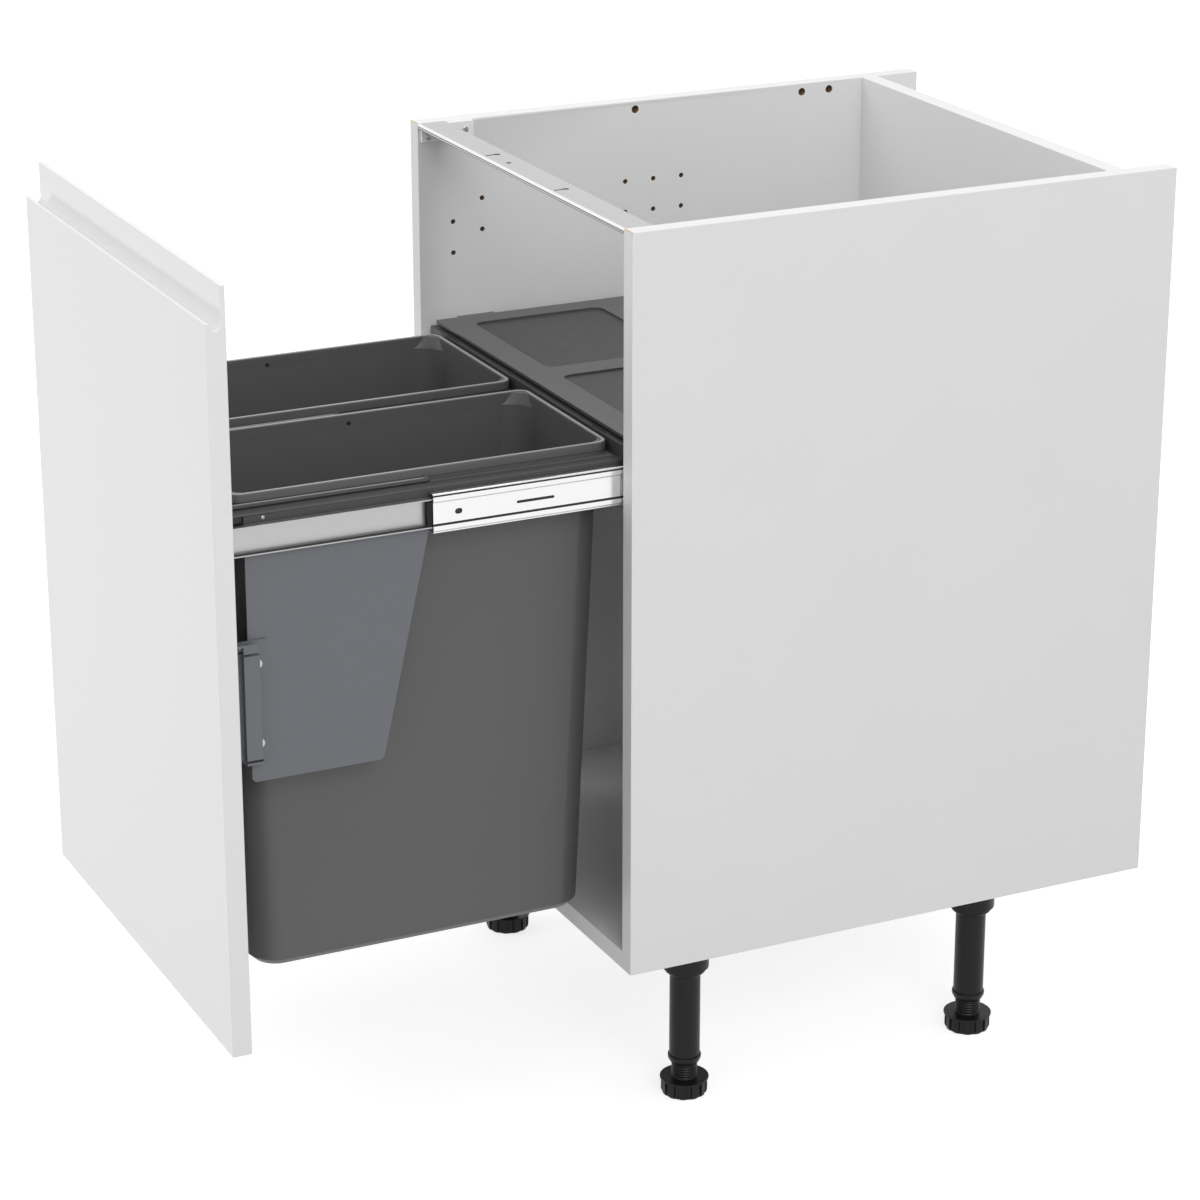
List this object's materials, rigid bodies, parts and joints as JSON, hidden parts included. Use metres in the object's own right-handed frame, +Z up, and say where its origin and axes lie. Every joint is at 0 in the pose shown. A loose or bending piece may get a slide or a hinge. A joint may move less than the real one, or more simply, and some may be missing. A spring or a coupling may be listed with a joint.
{
  "type": "pull out trash cabinet",
  "caption": "Base cabinet on screw legs with a pull-out front that carries waste bins with bail handles in a moulded frame on telescopic ball-bearing slides.",
  "frame": {"origin": "on the floor, in the middle of the whole object with its drawer as stored", "axes": "+Z up, +Y from the drawer front to the back of the cabinet, +X to the right seen from the front"},
  "size_m": [0.5, 0.9674, 0.878],
  "materials": {
    "melamine_white": "white melamine-faced chipboard, satin",
    "door_lacquer": "gloss white lacquer on board",
    "bin_plastic": "anthracite moulded polypropylene",
    "frame_plastic": "dark grey moulded plastic with a soft sheen",
    "leg_plastic": "black moulded plastic",
    "bracket_plastic": "light grey moulded plastic",
    "painted_plate": "blue-grey powder coat, satin",
    "rail_steel": "light galvanised steel",
    "zinc_steel": "bright zinc-plated steel",
    "cage_steel": "plain steel strip"
  },
  "bodies": {
    "cabinet": {"side_panel_left": "melamine_white", "side_panel_right": "melamine_white", "base_panel": "melamine_white", "back_panel": "melamine_white", "front_rail": "rail_steel", "rail_bracket_left": "bracket_plastic", "rail_bracket_right": "bracket_plastic", "bin_cover": "frame_plastic", "cover_support_left": "painted_plate", "cover_support_right": "painted_plate", "slide_cabinet_member_left": "zinc_steel", "slide_cabinet_member_right": "zinc_steel", "leg_sockets": "leg_plastic", "leg_tubes": "leg_plastic"},
    "drawer": {"door_front": "door_lacquer", "side_plate_left": "painted_plate", "side_plate_right": "painted_plate", "door_bracket_left": "painted_plate", "door_bracket_right": "painted_plate", "bin_frame": "frame_plastic", "slide_drawer_member_left": "zinc_steel", "slide_drawer_member_right": "zinc_steel"},
    "mid_member_left": {"slide_mid_member_left": "zinc_steel"},
    "outer_cage_left": {"slide_outer_cage_left": "cage_steel"},
    "inner_cage_left": {"slide_inner_cage_left": "cage_steel"},
    "bin_left": {"waste_bin_left": "bin_plastic"},
    "bail_left": {"bail_handle_left": "bin_plastic"},
    "mid_member_right": {"slide_mid_member_right": "zinc_steel"},
    "outer_cage_right": {"slide_outer_cage_right": "cage_steel"},
    "inner_cage_right": {"slide_inner_cage_right": "cage_steel"},
    "bin_right": {"waste_bin_right": "bin_plastic"},
    "bail_right": {"bail_handle_right": "bin_plastic"},
    "foot_front_left": {"foot_front_left": "leg_plastic"},
    "foot_front_right": {"foot_front_right": "leg_plastic"},
    "foot_rear_left": {"foot_rear_left": "leg_plastic"},
    "foot_rear_right": {"foot_rear_right": "leg_plastic"}
  },
  "joints": [
    {"name": "drawer_slide", "type": "slide", "parent": "cabinet", "child": "drawer", "axis": [0, -1, 0], "range_m": [-0.377, 0.055]},
    {"name": "mid_member_left_slide", "type": "slide", "parent": "cabinet", "child": "mid_member_left", "axis": [0, -1, 0], "range_m": [-0.189, 0.028]},
    {"name": "outer_cage_left_slide", "type": "slide", "parent": "cabinet", "child": "outer_cage_left", "axis": [0, -1, 0], "range_m": [-0.09475, 0.01425]},
    {"name": "inner_cage_left_slide", "type": "slide", "parent": "cabinet", "child": "inner_cage_left", "axis": [0, -1, 0], "range_m": [-0.28325, 0.04175]},
    {"name": "mid_member_right_slide", "type": "slide", "parent": "cabinet", "child": "mid_member_right", "axis": [0, -1, 0], "range_m": [-0.189, 0.028]},
    {"name": "outer_cage_right_slide", "type": "slide", "parent": "cabinet", "child": "outer_cage_right", "axis": [0, -1, 0], "range_m": [-0.09475, 0.01425]},
    {"name": "inner_cage_right_slide", "type": "slide", "parent": "cabinet", "child": "inner_cage_right", "axis": [0, -1, 0], "range_m": [-0.28325, 0.04175]},
    {"name": "bin_left_lift", "type": "slide", "parent": "drawer", "child": "bin_left", "axis": [0, 0, 1], "range_m": [0, 0.19]},
    {"name": "bail_left_swing", "type": "hinge", "parent": "bin_left", "child": "bail_left", "pos_m": [-0.106, -0.26625, 0.6632], "axis": [-1, 0, 0], "range_deg": [0, 95]},
    {"name": "bin_right_lift", "type": "slide", "parent": "drawer", "child": "bin_right", "axis": [0, 0, 1], "range_m": [0, 0.19]},
    {"name": "bail_right_swing", "type": "hinge", "parent": "bin_right", "child": "bail_right", "pos_m": [0.106, -0.26625, 0.6632], "axis": [-1, 0, 0], "range_deg": [0, 95]},
    {"name": "foot_front_left_screw", "type": "slide", "parent": "cabinet", "child": "foot_front_left", "axis": [0, 0, -1], "range_m": [-0.015, 0.02]},
    {"name": "foot_front_right_screw", "type": "slide", "parent": "cabinet", "child": "foot_front_right", "axis": [0, 0, -1], "range_m": [-0.015, 0.02]},
    {"name": "foot_rear_left_screw", "type": "slide", "parent": "cabinet", "child": "foot_rear_left", "axis": [0, 0, -1], "range_m": [-0.015, 0.02]},
    {"name": "foot_rear_right_screw", "type": "slide", "parent": "cabinet", "child": "foot_rear_right", "axis": [0, 0, -1], "range_m": [-0.015, 0.02]}
  ],
  "couplings": [
    {"joint": "mid_member_left_slide", "follows": "drawer_slide", "ratio": 0.5},
    {"joint": "outer_cage_left_slide", "follows": "drawer_slide", "ratio": 0.25},
    {"joint": "inner_cage_left_slide", "follows": "drawer_slide", "ratio": 0.75},
    {"joint": "mid_member_right_slide", "follows": "drawer_slide", "ratio": 0.5},
    {"joint": "outer_cage_right_slide", "follows": "drawer_slide", "ratio": 0.25},
    {"joint": "inner_cage_right_slide", "follows": "drawer_slide", "ratio": 0.75}
  ]
}
